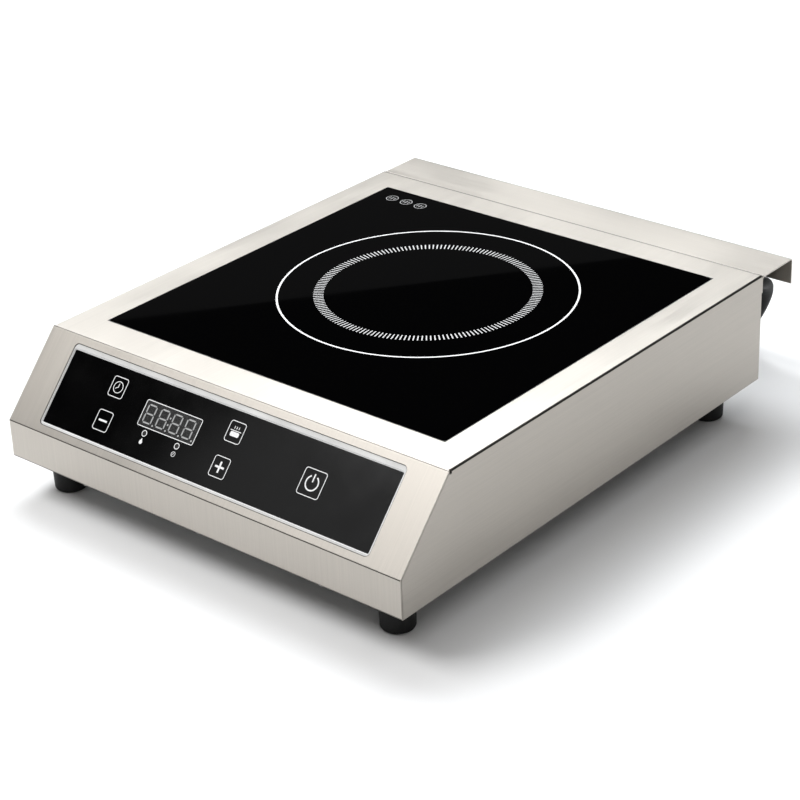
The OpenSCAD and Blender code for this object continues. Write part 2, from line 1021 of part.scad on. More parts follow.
module heatsink() {
    color("silver")
    in_housing()
        translate([sink_at[0], sink_at[1], pcb_top + 5])
            union() {
                cube([sink_size[0], sink_size[1], 5]);
                for (i = [0:12])
                    translate([i * (sink_size[0] - 1.6) / 12, 0, 0])
                        cube([1.6, sink_size[1], sink_size[2] - 5]);
            }
}

module power_transistors() {
    color("#202020")
    in_housing()
        for (y = [24, 80])
            translate([sink_at[0] + 24, sink_at[1] + y, pcb_top])
                union() {
                    cube([16, 20, 5]);
                    for (i = [0:2])
                        translate([2.2 + i * 5.2, -4, 0])
                            cube([1.2, 5, 2]);
                }
}

module bridge_rectifier() {
    color("#242424")
    in_housing()
        translate([sink_at[0] + 20, sink_at[1] + 52, pcb_top])
            cube([24, 20, 5]);
}

module resonance_capacitor() {
    color("gold")
    in_housing()
        translate([96, 236, pcb_top])
            union() {
                cube([40, 26, 30]);
                translate([0, 44, 0])
                    cube([40, 20, 26]);
            }
}

module filter_capacitor() {
    color("navy")
    in_housing()
        translate([96, 160, pcb_top])
            cube([18, 42, 30]);
}

module filter_choke() {
    color("peru")
    in_housing()
        translate([64, 112, pcb_top])
            union() {
                translate([0, 0, 3])
                    rotate_extrude()
                        translate([15, 8])
                            circle(7.5);
                cylinder(r = 19, h = 3.6);
            }
}

module line_fuse() {
    color("white")
    in_housing()
        translate([112, 296, pcb_top])
            union() {
                translate([-2, 12, 0])
                    cube([30, 9, 3]);
                for (x = [2, 20])
                    translate([x, 13, 2.9])
                        cube([4, 7, 7]);
                translate([0, 16.5, 7.4])
                    rotate([0, 90, 0])
                        cylinder(r = 2.6, h = 26);
            }
}

// ---------- fan ----------

module at_fan() {
    in_housing()
        translate([fan_at[0], fan_at[1], fan_low])
            children();
}

bearing_top = 12;

// Square fan frame with a round duct, three struts and the motor seat
module fan_frame() {
    color("#1c1c1c")
    at_fan()
        difference() {
            union() {
                difference() {
                    linear_extrude(fan_h)
                        rounded_rect([fan_side, fan_side], 6);
                    translate([0, 0, -1])
                        cylinder(r = fan_bore, h = fan_h + 2, $fn = 96);
                }
                for (a = [30, 150, 270])
                    rotate(a)
                        translate([0, -3, 0])
                            cube([fan_bore + 1.5, 6, 3]);
                cylinder(r = hub_r, h = 3.4);
                cylinder(r = 5, h = bearing_top);
            }
            translate([0, 0, 1.5])
                cylinder(r = shaft_r + fan_fit, h = bearing_top);
            for (sx = [-1, 1], sy = [-1, 1])
                translate([sx * 52.5, sy * 52.5, -1])
                    cylinder(r = 2.2, h = fan_h + 2);
        }
}

blade_t = 1.6;
blade_h = 17;
blade_pitch = 38;

module fan_rotor() {
    color("#2a2a2a")
    at_fan()
        union() {
            difference() {
                translate([0, 0, 4.4])
                    cylinder(r = hub_r, h = fan_h - 5.4);
                translate([0, 0, 3])
                    cylinder(r = hub_r - 2, h = fan_h - 6.5);
            }
            translate([0, 0, 2])
                cylinder(r = shaft_r, h = fan_h - 4);
            intersection() {
                difference() {
                    cylinder(r = blade_r, h = fan_h, $fn = 96);
                    translate([0, 0, -1])
                        cylinder(r = hub_r - 0.6, h = fan_h + 2);
                }
                for (i = [0:fan_blades - 1])
                    rotate(i * 360 / fan_blades)
                        translate([0, 0, 5 + blade_h / 2])
                            rotate([blade_pitch, 0, 0])
                                translate([hub_r - 2, -blade_t / 2, -blade_h / 2])
                                    cube([blade_r, blade_t, blade_h]);
            }
        }
}

module fan_mounts() {
    color("dimgray")
    in_housing()
        for (p = fan_hole_at)
            translate([p[0], p[1], 0])
                union() {
                    translate([0, 0, deck_z])
                        cylinder(r = 4, h = fan_low - deck_z);
                    translate([0, 0, base_z - 1.6])
                        cylinder(r = 3.4, h = 1.6);
                    translate([0, 0, base_z - 0.1])
                        cylinder(r = 1.7, h = fan_h + fan_low);
                }
}

// ---------- mains side ----------

module terminal_block() {
    color("ivory")
    in_housing()
        translate([96, 344, deck_z])
            difference() {
                cube([30, 16, 14]);
                for (i = [0:2])
                    translate([5 + 10 * i, 8, 8])
                        cylinder(r = 2.4, h = 8);
            }
}

module earth_stud() {
    color("goldenrod")
    in_housing()
        translate([stud_at[0], stud_at[1], 0])
            union() {
                translate([0, 0, -0.8])
                    cylinder(r = 4, h = 1.8);
                cylinder(r = 1.95, h = 14);
                translate([0, 0, deck_z])
                    cylinder(r = 4, h = 3.2, $fn = 6);
            }
}

module mains_wires() {
    inner_end = [cord_x, body_d - 11, cord_z];
    color("brown")
    in_housing()
        for (w = [
            [[-2.4, 0, 0], [-8, -10, -8], [116 - cord_x, -8, -26], [121, 353, deck_z + 13]],
            [[2.4, 0, 0], [-6, -14, -14], [90 - cord_x, -18, -34], [stud_at[0] + 4, stud_at[1] - 1, 14]],
            [[0, 0, 2.4], [-14, -14, -2], [106 - cord_x, -8, -24], [111, 353, deck_z + 13]]
        ])
            tube(smooth([
                inner_end + w[0], inner_end + w[1], inner_end + w[2], w[3]
            ], 4), 1.3, 8);
}

// Tapered cord outlet with its flange outside and its collar inside the rear wall
module strain_relief() {
    wall = body_d - 2 * sheet_t;
    color("#141414")
    in_housing()
        translate([cord_x, wall, cord_z])
            rotate([-90, 0, 0])
                rotate_extrude()
                    polygon([
                        [cord_r - 0.4, -10], [8.6, -10], [9.4, -4], [9.4, 0], [7.4, 0],
                        [7.4, sheet_t], [10.4, sheet_t], [10.4, 4.4], [8.6, 5.6],
                        [6.2, relief_tail + 2 * sheet_t], [0, relief_tail + 2 * sheet_t],
                        [0, relief_tail + 1], [cord_r - 0.4, relief_tail + 1]
                    ]);
}

// ---------- mains cord ----------

module cord_tube() {
    color("#101010")
        tube(smooth(cord_route, 2), cord_r, 10);
}

// Outline across the stored turns: two columns of two turns with one more on the outer column
module turns_outline(grow) {
    union() {
        translate([cord_coil_r, cord_d])
            rounded_rect([2 * cord_d + 2 * grow, 2 * cord_d + 2 * grow], 3);
        translate([outer_turn_r, 2 * cord_d])
            rounded_rect([cord_d + 2 * grow, 2 * cord_d + 2 * grow], 3);
    }
}

module cord_coil() {
    color("#101010")
        translate([coil_at[0], coil_at[1], 0])
            rotate_extrude($fn = 96)
                turns_outline(0);
}

module cord_tail() {
    color("#101010")
        tube(smooth(tail_route, 2), cord_r, 10);
}

tie_t = 1.2;
tie_w = 7;
tie_angle = 110;

module cord_tie() {
    color("dimgray")
        translate([coil_at[0], coil_at[1], 0])
            rotate(tie_angle)
                rotate([90, 0, 0])
                    translate([0, 0, -tie_w / 2])
                        linear_extrude(tie_w)
                            difference() {
                                intersection() {
                                    turns_outline(tie_t);
                                    square([200, 100]);
                                }
                                turns_outline(0);
                            }
}

// Moulded three-pin plug lying on the floor
module mains_plug() {
    color("#121212")
        translate([plug_at[0], plug_at[1], plug_r])
            rotate(plug_turn)
                union() {
                    rotate([0, 90, 0])
                        rotate_extrude()
                            polygon([
                                [0, 0], [plug_r, 0], [plug_r, 6], [plug_waist_r, 7.5],
                                [plug_waist_r, 24], [8, plug_body_l], [6, plug_body_l],
                                [5, plug_body_l + plug_tail_l], [0, plug_body_l + plug_tail_l]
                            ]);
                    for (s = [-1, 1])
                        translate([-blade_size[0], s * blade_y - blade_size[1] / 2, blade_drop])
                            cube([blade_size[0] + pin_root, blade_size[1], blade_size[2]]);
                    translate([-earth_pin_l, 0, -earth_pin_drop])
                        rotate([0, 90, 0])
                            cylinder(r = earth_pin_r, h = earth_pin_l + pin_root);
                }
}

top_cover();
rear_panel();
base_plate();
rear_hood();
glass_seal();
ceramic_glass();
foot_front_left();
foot_front_right();
foot_rear_left();
foot_rear_right();
foot_screws();
base_screws();
hood_rivets();
control_bezel();
control_film();
control_plate();
display_window();
display_module();
control_board();
indicator_leds();
tact_switches();
control_screws();
buzzer();
key_timer();
key_minus();
key_function();
key_plus();
key_power();
ribbon_cable();
mica_sheet();
induction_coil();
coil_carrier();
ferrite_bars();
glass_sensor();
coil_bracket_front();
coil_bracket_rear();
coil_spacers();
coil_leads();
power_board();
board_standoffs();
heatsink();
power_transistors();
bridge_rectifier();
resonance_capacitor();
filter_capacitor();
filter_choke();
line_fuse();
fan_frame();
fan_rotor();
fan_mounts();
terminal_block();
earth_stud();
mains_wires();
strain_relief();
cord_tube();
cord_coil();
cord_tail();
cord_tie();
mains_plug();
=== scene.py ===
import math

import bmesh
import bpy
from mathutils import Matrix, Vector


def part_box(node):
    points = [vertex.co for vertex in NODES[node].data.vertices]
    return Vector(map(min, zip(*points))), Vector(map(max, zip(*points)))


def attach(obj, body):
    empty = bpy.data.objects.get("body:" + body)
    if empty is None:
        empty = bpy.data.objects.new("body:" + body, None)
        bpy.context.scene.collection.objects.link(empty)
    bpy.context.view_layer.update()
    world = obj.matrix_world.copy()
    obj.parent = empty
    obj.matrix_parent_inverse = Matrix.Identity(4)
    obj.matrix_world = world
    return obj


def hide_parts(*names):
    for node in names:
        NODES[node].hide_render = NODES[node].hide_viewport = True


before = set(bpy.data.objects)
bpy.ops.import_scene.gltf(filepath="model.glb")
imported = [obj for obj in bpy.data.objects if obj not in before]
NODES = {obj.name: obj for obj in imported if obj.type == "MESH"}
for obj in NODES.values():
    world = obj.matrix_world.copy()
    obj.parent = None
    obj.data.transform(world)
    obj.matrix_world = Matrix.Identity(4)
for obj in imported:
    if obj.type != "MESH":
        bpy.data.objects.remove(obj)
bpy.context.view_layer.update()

MM = 0.001

# ---------------------------------------------------------------- places taken from the frame

cover_low, cover_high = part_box("top_cover")
glass_low, glass_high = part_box("ceramic_glass")
BODY_LOW = cover_low.z
TOP = cover_high.z
FRONT = cover_low.y

# The control slope: height of its lower fold, its run in depth and its face depths below the sheet
FRONT_H = 26.6 * MM
SLOPE_RUN = 45.4 * MM
FILM_FACE = -1.0 * MM
SLOPE_RISE = TOP - BODY_LOW - FRONT_H
SLOPE_ANGLE = math.atan2(SLOPE_RISE, SLOPE_RUN)
SLOPE = Matrix.Translation((0, FRONT, BODY_LOW + FRONT_H)) @ Matrix.Rotation(SLOPE_ANGLE, 4, "X")

# The cooking zone on the glass
ZONE = Vector((0, FRONT + 227 * MM, glass_high.z))


# ---------------------------------------------------------------- camera

def photo_camera():
    """The camera at the photograph's distance, angle and slight roll."""
    azimuth, elevation, roll = math.radians(41.02), math.radians(27.2), math.radians(-2.285)
    target = Vector((0, -11.9, 34.4)) * MM
    distance = 1.4902
    back = Vector((
        math.sin(azimuth) * math.cos(elevation),
        -math.cos(azimuth) * math.cos(elevation),
        math.sin(elevation),
    ))
    across = Vector((0, 0, 1)).cross(back).normalized()
    up = back.cross(across)
    across, up = (
        math.cos(roll) * across + math.sin(roll) * up,
        math.cos(roll) * up - math.sin(roll) * across,
    )
    data = bpy.data.cameras.new("camera")
    data.sensor_width = 36
    data.lens = 101.32
    data.clip_start, data.clip_end = 0.05, 50
    camera = bpy.data.objects.new("camera", data)
    bpy.context.collection.objects.link(camera)
    camera.matrix_world = Matrix((
        (across.x, up.x, back.x, 0),
        (across.y, up.y, back.y, 0),
        (across.z, up.z, back.z, 0),
        (0, 0, 0, 1),
    ))
    camera.matrix_world.translation = target + back * distance
    bpy.context.scene.camera = camera


photo_camera()


# ---------------------------------------------------------------- node graph helpers

class Graph:
    """A material's nodes with a principled shader, built by short calls."""

    def __init__(self, name, color, rough, **sockets):
        self.material = bpy.data.materials.new(name)
        self.material.use_nodes = True
        self.tree = self.material.node_tree
        self.shader = self.tree.nodes["Principled BSDF"]
        self.shader.inputs["Base Color"].default_value = (*color, 1)
        self.shader.inputs["Roughness"].default_value = rough
        for socket, value in sockets.items():
            self.shader.inputs[socket.replace("_", " ")].default_value = value

    def add(self, kind, inputs=None, **settings):
        node = self.tree.nodes.new(kind)
        for key, value in settings.items():
            setattr(node, key, value)
        for key, value in (inputs or {}).items():
            self.feed(node, key, value)
        return node

    def feed(self, node, key, value):
        if isinstance(value, bpy.types.NodeSocket):
            self.tree.links.new(value, node.inputs[key])
        else:
            node.inputs[key].default_value = value

    def place(self, scale=(1, 1, 1)):
        """Object coordinates, in metres, times scale."""
        coordinates = self.add("ShaderNodeTexCoord")
        mapping = self.add("ShaderNodeMapping", {"Vector": coordinates.outputs["Object"]})
        mapping.inputs["Scale"].default_value = scale
        return mapping.outputs["Vector"]

    def noise(self, scale, detail=3.0, stretch=(1, 1, 1), rough=0.55):
        node = self.add("ShaderNodeTexNoise", {
            "Vector": self.place(stretch), "Scale": scale, "Detail": detail, "Roughness": rough,
        })
        return node.outputs["Fac"]

    def math(self, operation, a, b=0.0):
        node = self.add("ShaderNodeMath", operation=operation)
        self.feed(node, 0, a)
        self.feed(node, 1, b)
        return node.outputs[0]

    def spread(self, value, low, high, source_low=0.3, source_high=0.7):
        """Maps a value's usual range to low..high."""
        return self.add("ShaderNodeMapRange", {
            "Value": value, "From Min": source_low, "From Max": source_high,
            "To Min": low, "To Max": high,
        }).outputs["Result"]

    def tint(self, factor, dark, light):
        node = self.add("ShaderNodeMix", data_type="RGBA")
        self.feed(node, 0, factor)
        self.feed(node, 6, (*dark, 1))
        self.feed(node, 7, (*light, 1))
        return node.outputs[2]

    def mix(self, factor, a, b):
        node = self.add("ShaderNodeMix", data_type="FLOAT")
        self.feed(node, 0, factor)
        self.feed(node, 2, a)
        self.feed(node, 3, b)
        return node.outputs[0]

    def color(self, socket):
        self.feed(self.shader, "Base Color", socket)

    def rough(self, socket):
        self.feed(self.shader, "Roughness", socket)

    def bump(self, height, strength, distance):
        node = self.add("ShaderNodeBump", {
            "Height": height, "Strength": strength, "Distance": distance,
        })
        self.feed(self.shader, "Normal", node.outputs["Normal"])


# ---------------------------------------------------------------- materials

def flatness(g, axes):
    """How nearly a face looks along one of the sheet's flat directions: 1 on a flat, less on a fold."""
    best = 0.0
    for axis in ((1, 0, 0), (0, 1, 0), (0, 0, 1), (0, -math.sin(SLOPE_ANGLE), math.cos(SLOPE_ANGLE))):
        along = g.add("ShaderNodeVectorMath", {0: axes, 1: axis}, operation="DOT_PRODUCT")
        best = g.math("MAXIMUM", g.math("ABSOLUTE", along.outputs["Value"]), best)
    return best


def brushed_steel(name, color, main_grain):
    """Fine straight brushing one way, along the depth on the side walls, and painted shade in the
    folds, darkened to stand in for the dark that the bends reflect.
    """
    g = Graph(name, color, 0.42, Metallic=1.0)
    normal = g.add("ShaderNodeNewGeometry").outputs["Normal"]
    looks = g.add("ShaderNodeSeparateXYZ", {"Vector": normal})
    is_side = g.math("GREATER_THAN", g.math("ABSOLUTE", looks.outputs["X"]), 0.7)
    grain = g.mix(is_side, g.noise(1.0, 4, main_grain, 0.6), g.noise(1.0, 4, (16, 16, 1100), 0.6))
    cloud = g.noise(9, 3)
    brushed = g.tint(
        g.math("ADD", g.spread(grain, 0.1, 0.65), g.spread(cloud, 0.0, 0.35)),
        tuple(c * 0.88 for c in color), tuple(min(1, c * 1.08) for c in color),
    )
    # Painted shade: the colour of the folds is mixed towards a dark copy of the steel, in place of
    # their dark reflection.
    fold = g.spread(flatness(g, normal), 1, 0, 0.975, 0.9995)
    painted_fold_shade = g.add("ShaderNodeMix", {0: fold, 6: brushed}, data_type="RGBA")
    painted_fold_shade.inputs[7].default_value = (*(c * 0.14 for c in color), 1)
    g.color(painted_fold_shade.outputs[2])
    g.rough(g.math("ADD", g.spread(grain, 0.38, 0.48), g.spread(cloud, -0.02, 0.03)))
    g.bump(grain, 0.3, 0.00003)
    return g.material


def plated_steel(name="plated_steel", color=(0.48, 0.49, 0.5)):
    g = Graph(name, color, 0.42, Metallic=1.0)
    spangle = g.add("ShaderNodeTexVoronoi", {"Vector": g.place(), "Scale": 160}).outputs["Color"]
    grey = g.add("ShaderNodeSeparateColor", {"Color": spangle}).outputs["Red"]
    g.color(g.tint(grey, tuple(c * 0.86 for c in color), color))
    g.rough(g.spread(g.noise(60), 0.4, 0.46))
    return g.material


def black_glass():
    """Polished glass-ceramic: black, with a faint fleck and hardly any waviness."""
    g = Graph("black_glass", (0.0005, 0.0005, 0.0006), 0.03, IOR=1.5)
    fleck = g.spread(g.noise(900, 2), 0, 1, 0.55, 0.75)
    g.color(g.tint(fleck, (0.0004, 0.0004, 0.0005), (0.0012, 0.0012, 0.0013)))
    g.rough(g.spread(g.noise(14), 0.015, 0.03))
    g.bump(g.noise(5, 1), 0.03, 0.0005)
    return g.material


def print_ink(name="white_print", color=(0.85, 0.85, 0.85)):
    g = Graph(name, color, 0.45)
    wear = g.noise(1200, 3)
    g.color(g.tint(g.spread(wear, 0, 1), tuple(c * 0.86 for c in color), color))
    g.rough(g.spread(wear, 0.4, 0.55))
    return g.material


def rubber(name="black_rubber", color=(0.012, 0.012, 0.012), rough=0.62):
    g = Graph(name, color, rough, Specular_IOR_Level=0.3)
    grain = g.noise(1500, 4)
    g.color(g.tint(g.spread(g.noise(60), 0, 1), tuple(c * 0.75 for c in color),
                   tuple(c * 1.5 for c in color)))
    g.rough(g.spread(grain, rough - 0.08, rough + 0.08))
    g.bump(grain, 0.2, 0.00004)
    return g.material


def plastic(name, color, rough=0.45, grain_size=1400, bump=0.12):
    g = Graph(name, color, rough)
    grain = g.noise(grain_size, 3)
    g.color(g.tint(g.spread(g.noise(45), 0, 1), tuple(c * 0.88 for c in color),
                   tuple(min(1, c * 1.08) for c in color)))
    g.rough(g.spread(grain, rough - 0.05, rough + 0.06))
    g.bump(grain, bump, 0.00003)
    return g.material


def film():
    """Satin black polyester film with a barely visible emboss."""
    g = Graph("panel_film", (0.0009, 0.0009, 0.001), 0.12)
    g.rough(g.spread(g.noise(35), 0.09, 0.15))
    g.bump(g.noise(2500, 2), 0.05, 0.00002)
    return g.material


def metal(name, color, rough):
    g = Graph(name, color, rough, Metallic=1.0)
    wear = g.noise(220, 4)
    g.color(g.tint(g.spread(wear, 0, 1), tuple(c * 0.82 for c in color), color))
    g.rough(g.spread(wear, rough - 0.06, rough + 0.08))
    return g.material


def circuit_board():
    g = Graph("circuit_board", (0.012, 0.09, 0.035), 0.35)
    tracks = g.add("ShaderNodeTexBrick", {
        "Vector": g.place(), "Scale": 90.0, "Mortar Size": 0.12,
        "Color1": (0.010, 0.085, 0.03, 1), "Color2": (0.012, 0.1, 0.038, 1),
        "Mortar": (0.03, 0.17, 0.07, 1),
    })
    g.color(tracks.outputs["Color"])
    g.rough(g.spread(g.noise(120), 0.28, 0.42))
    return g.material


def litz_copper():
    g = Graph("litz_copper", (0.6, 0.28, 0.13), 0.32, Metallic=1.0)
    strand = g.add("ShaderNodeTexWave", {
        "Vector": g.place(), "Scale": 420.0, "Distortion": 2.0,
    }, wave_type="RINGS").outputs["Fac"]
    g.color(g.tint(strand, (0.4, 0.16, 0.07), (0.72, 0.36, 0.17)))
    g.rough(g.spread(strand, 0.26, 0.4, 0, 1))
    return g.material


STEEL_COLOR = (0.5, 0.469, 0.427)
STEEL = brushed_steel("brushed_steel", STEEL_COLOR, (1100, 16, 16))
HOOD_STEEL = brushed_steel("hood_steel", STEEL_COLOR, (16, 1100, 1100))
PLATED = plated_steel()
GLASS = black_glass()
WHITE_INK = print_ink("white_print", (0.95, 0.95, 0.95))
GREY_INK = print_ink("grey_print", (0.42, 0.42, 0.42))
TICK_INK = print_ink("tick_print", (0.66, 0.66, 0.66))
DIGIT_INK = print_ink("unlit_digits", (0.42, 0.42, 0.42))
BLACK_RUBBER = rubber("black_rubber", (0.006, 0.006, 0.006))
CORD_RUBBER = rubber("cord_jacket", (0.003, 0.003, 0.003), 0.62)
SEAL = rubber("black_silicone", (0.01, 0.01, 0.01), 0.5)
BLACK_PLASTIC = plastic("black_plastic", (0.014, 0.014, 0.014))
GREY_PLASTIC = plastic("grey_plastic", (0.3, 0.3, 0.3))
IVORY_PLASTIC = plastic("ivory_plastic", (0.68, 0.64, 0.52))
FILM = film()
BEZEL = plastic("bezel_silver", (0.7, 0.695, 0.68), 0.35, 900, 0.06)
# Painted shadow: near-black colour for the band laid round the bezel, where its recess gap is in shade.
BEZEL_SHADOW_PAINT = print_ink("gap_shadow", (0.02, 0.02, 0.02))
WINDOW = plastic("smoked_window", (0.016, 0.016, 0.016), 0.25, 900, 0.03)
BOARD = circuit_board()
COPPER = litz_copper()
BRASS = metal("brass", (0.62, 0.47, 0.2), 0.32)
ALUMINIUM = metal("aluminium", (0.62, 0.63, 0.64), 0.4)
BRIGHT = metal("bright_plating", (0.62, 0.62, 0.62), 0.25)
MICA = plastic("mica", (0.5, 0.41, 0.27), 0.5, 300, 0.3)
FERRITE = plastic("ferrite", (0.04, 0.04, 0.043), 0.55, 500, 0.3)
CERAMIC = plastic("white_ceramic", (0.78, 0.78, 0.75), 0.25)
RED_SILICONE = rubber("red_silicone", (0.35, 0.06, 0.03), 0.5)
LED = plastic("led_lens", (0.03, 0.028, 0.028), 0.2, 900, 0.02)
YELLOW = plastic("yellow_case", (0.65, 0.5, 0.06), 0.3)
BLUE = plastic("blue_case", (0.05, 0.12, 0.33), 0.3)
WIRE = plastic("wire_sleeve", (0.2, 0.08, 0.035), 0.35)

# ---------------------------------------------------------------- which material each CAD node has

NODE_MATERIALS = {
    "top_cover": STEEL, "rear_panel": STEEL, "rear_hood": HOOD_STEEL,
    "base_plate": PLATED, "coil_bracket_front": PLATED, "coil_bracket_rear": PLATED,
    "foot_screws": BRIGHT, "base_screws": BRIGHT, "hood_rivets": BRIGHT, "control_screws": BRIGHT,
    "board_standoffs": BRIGHT, "earth_stud": BRASS, "terminal_block": IVORY_PLASTIC,
    "glass_seal": SEAL, "ceramic_glass": GLASS,
    "foot_front_left": BLACK_RUBBER, "foot_front_right": BLACK_RUBBER,
    "foot_rear_left": BLACK_RUBBER, "foot_rear_right": BLACK_RUBBER, "fan_mounts": BLACK_RUBBER,
    "control_bezel": BEZEL, "control_film": FILM, "control_plate": BLACK_PLASTIC,
    "key_timer": FILM, "key_minus": FILM, "key_function": FILM, "key_plus": FILM, "key_power": FILM,
    "display_window": WINDOW, "display_module": GREY_PLASTIC, "tact_switches": GREY_PLASTIC,
    "ribbon_cable": GREY_PLASTIC, "control_board": BOARD, "power_board": BOARD,
    "indicator_leds": LED, "buzzer": BLACK_PLASTIC, "power_transistors": BLACK_PLASTIC,
    "bridge_rectifier": BLACK_PLASTIC, "fan_frame": BLACK_PLASTIC, "fan_rotor": BLACK_PLASTIC,
    "strain_relief": BLACK_PLASTIC, "mica_sheet": MICA, "induction_coil": COPPER,
    "filter_choke": COPPER, "coil_carrier": IVORY_PLASTIC, "ferrite_bars": FERRITE,
    "glass_sensor": CERAMIC, "line_fuse": CERAMIC, "coil_spacers": RED_SILICONE,
    "coil_leads": RED_SILICONE, "heatsink": ALUMINIUM, "resonance_capacitor": YELLOW,
    "filter_capacitor": BLUE, "mains_wires": WIRE, "cord_tie": GREY_PLASTIC,
    "cord_tube": CORD_RUBBER, "cord_coil": CORD_RUBBER, "cord_tail": CORD_RUBBER,
    "mains_plug": CORD_RUBBER,
}


def finish_nodes():
    """Every CAD node gets its own procedural material."""
    for name, node in NODES.items():
        node.data.materials.clear()
        node.data.materials.append(NODE_MATERIALS[name])


finish_nodes()


# ---------------------------------------------------------------- shape helpers

def add_object(name, data, material, body):
    piece = bpy.data.objects.new(name, data)
    bpy.context.collection.objects.link(piece)
    data.materials.append(material)
    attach(piece, body)
    return piece


def mesh_piece(name, mesh, material, body):
    data = bpy.data.meshes.new(name)
    bmesh.ops.recalc_face_normals(mesh, faces=mesh.faces)
    mesh.to_mesh(data)
    mesh.free()
    return add_object(name, data, material, body)


def prism(mesh, outline, low, high, place):
    """A closed prism over an outline of (across, up) points, between two heights of place."""
    bottom = [mesh.verts.new(place @ Vector((x, y, low))) for x, y in outline]
    top = [mesh.verts.new(place @ Vector((x, y, high))) for x, y in outline]
    mesh.faces.new(list(reversed(bottom)))
    mesh.faces.new(top)
    count = len(outline)
    for i in range(count):
        j = (i + 1) % count
        mesh.faces.new((bottom[i], bottom[j], top[j], top[i]))


def band(mesh, outer, inner, low, high, place):
    """A closed flat band between two outlines that have the same number of points."""
    count = len(outer)
    rings = [
        [mesh.verts.new(place @ Vector((x, y, z))) for x, y in line]
        for line, z in ((outer, low), (outer, high), (inner, high), (inner, low))
    ]
    for a, b in zip(rings, rings[1:] + rings[:1]):
        for i in range(count):
            j = (i + 1) % count
            mesh.faces.new((a[i], a[j], b[j], b[i]))


def circle(x, y, radius, count=48, start=0.0, sweep=360.0):
    """Points on a circle, or on an arc of it when sweep is under 360 degrees."""
    steps = count if sweep >= 360 else count - 1
    return [
        (x + radius * math.cos(math.radians(start + sweep * i / steps)),
         y + radius * math.sin(math.radians(start + sweep * i / steps)))
        for i in range(count)
    ]


def rounded(x, y, width, height, radius, steps=6):
    """Points around a rectangle with round corners, about its middle."""
    points = []
    for sx, sy, start in ((1, 1, 0), (-1, 1, 90), (-1, -1, 180), (1, -1, 270)):
        cx = x + sx * (width / 2 - radius)
        cy = y + sy * (height / 2 - radius)
        points += circle(cx, cy, radius, steps, start, 90)
    return points


def stroke(x0, y0, x1, y1, width):
    """Outline of a straight line of some width."""
    along = Vector((x1 - x0, y1 - y0)).normalized()
    side = Vector((-along.y, along.x)) * width / 2
    return [
        (x0 + side.x, y0 + side.y), (x0 - side.x, y0 - side.y),
        (x1 - side.x, y1 - side.y), (x1 + side.x, y1 + side.y),
    ]


def arc_band(x, y, radius, width, start, sweep, count=28):
    """Outline of an open arc of some width."""
    outer = circle(x, y, radius + width / 2, count, start, sweep)
    inner = circle(x, y, radius - width / 2, count, start, sweep)
    return outer + inner[::-1]


# ---------------------------------------------------------------- printing on the glass

PRINT_T = 0.06 * MM


def zone_ring():
    """The cooking zone: one plain ring, and inside it a ring of short radial ticks."""
    place = Matrix.Translation(ZONE)
    mesh = bmesh.new()
    line, outer_r = 1.3 * MM, 99.6 * MM
    band(mesh, circle(0, 0, outer_r + line / 2, 192), circle(0, 0, outer_r - line / 2, 192),
         0, PRINT_T, place)
    mesh_piece("zone_ring", mesh, WHITE_INK, "housing")
    mesh = bmesh.new()
    tick_low, tick_high, ticks = 68.8 * MM, 75.6 * MM, 168
    half = math.pi / ticks * 0.3
    for i in range(ticks):
        angle = 2 * math.pi * i / ticks
        corners = [
            (radius * math.cos(angle + turn), radius * math.sin(angle + turn))
            for radius, turn in (
                (tick_low, -half), (tick_high, -half), (tick_high, half), (tick_low, half),
            )
        ]
        prism(mesh, corners, 0, PRINT_T, place)
    mesh_piece("zone_ticks", mesh, TICK_INK, "housing")


def hot_surface_marks():
    """Three small plain marks at the rear left of the glass, in place of the photographed ones."""
    mesh = bmesh.new()
    edge = Vector((glass_low.x + 17 * MM, glass_high.y - 15 * MM, glass_high.z))
    place = Matrix.Translation(edge)
    for i in range(3):
        x = i * 13 * MM
        band(mesh, circle(x, 0, 4.6 * MM), circle(x, 0, 4.1 * MM), 0, PRINT_T, place)
        for k in range(3):
            bar = x + (k - 1) * 2.2 * MM
            reach = (2.2 - 0.5 * abs(k - 1)) * MM
            prism(mesh, stroke(bar, -reach, bar, reach, 0.6 * MM), 0, PRINT_T, place)
    mesh_piece("glass_marks", mesh, GREY_INK, "housing")


zone_ring()
hot_surface_marks()


# ---------------------------------------------------------------- printing on the control film

FACE = SLOPE @ Matrix.Translation((0, 0, FILM_FACE))
LINE = 0.5 * MM


def slope_points(name):
    """A CAD node's points as across, up and out of the slope."""
    to_slope = SLOPE.inverted()
    return [to_slope @ vertex.co for vertex in NODES[name].data.vertices]


def slope_face(name):
    """How far a CAD node's outer face stands out of the slope's plane."""
    return max(p.z for p in slope_points(name))


def slope_box(name):
    """Middle and size of a CAD node's outer face on the slope: across, up, width, height."""
    face = slope_face(name)
    points = [p for p in slope_points(name) if p.z > face - 0.05 * MM]
    low_x, high_x = min(p.x for p in points), max(p.x for p in points)
    low_y, high_y = min(p.y for p in points), max(p.y for p in points)
    return (low_x + high_x) / 2, (low_y + high_y) / 2, high_x - low_x, high_y - low_y


def outline_frame(mesh, place, width, height, radius, line):
    outer = rounded(0, 0, width, height, radius)
    inner = rounded(0, 0, width - 2 * line, height - 2 * line, radius - line)
    band(mesh, outer, inner, 0, PRINT_T, place)


def clock_symbol(mesh, place, size=1.0):
    radius = 4.0 * MM * size
    line = LINE * (0.4 + 0.6 * size)
    band(mesh, circle(0, 0, radius), circle(0, 0, radius - line), 0, PRINT_T, place)
    prism(mesh, stroke(0, -line / 2, 0, radius * 0.62, line), 0, PRINT_T, place)
    prism(mesh, stroke(-line / 2, 0, -radius * 0.5, -radius * 0.3, line), 0, PRINT_T, place)


def minus_symbol(mesh, place):
    prism(mesh, stroke(-3.6 * MM, 0, 3.6 * MM, 0, 1.3 * MM), 0, PRINT_T, place)


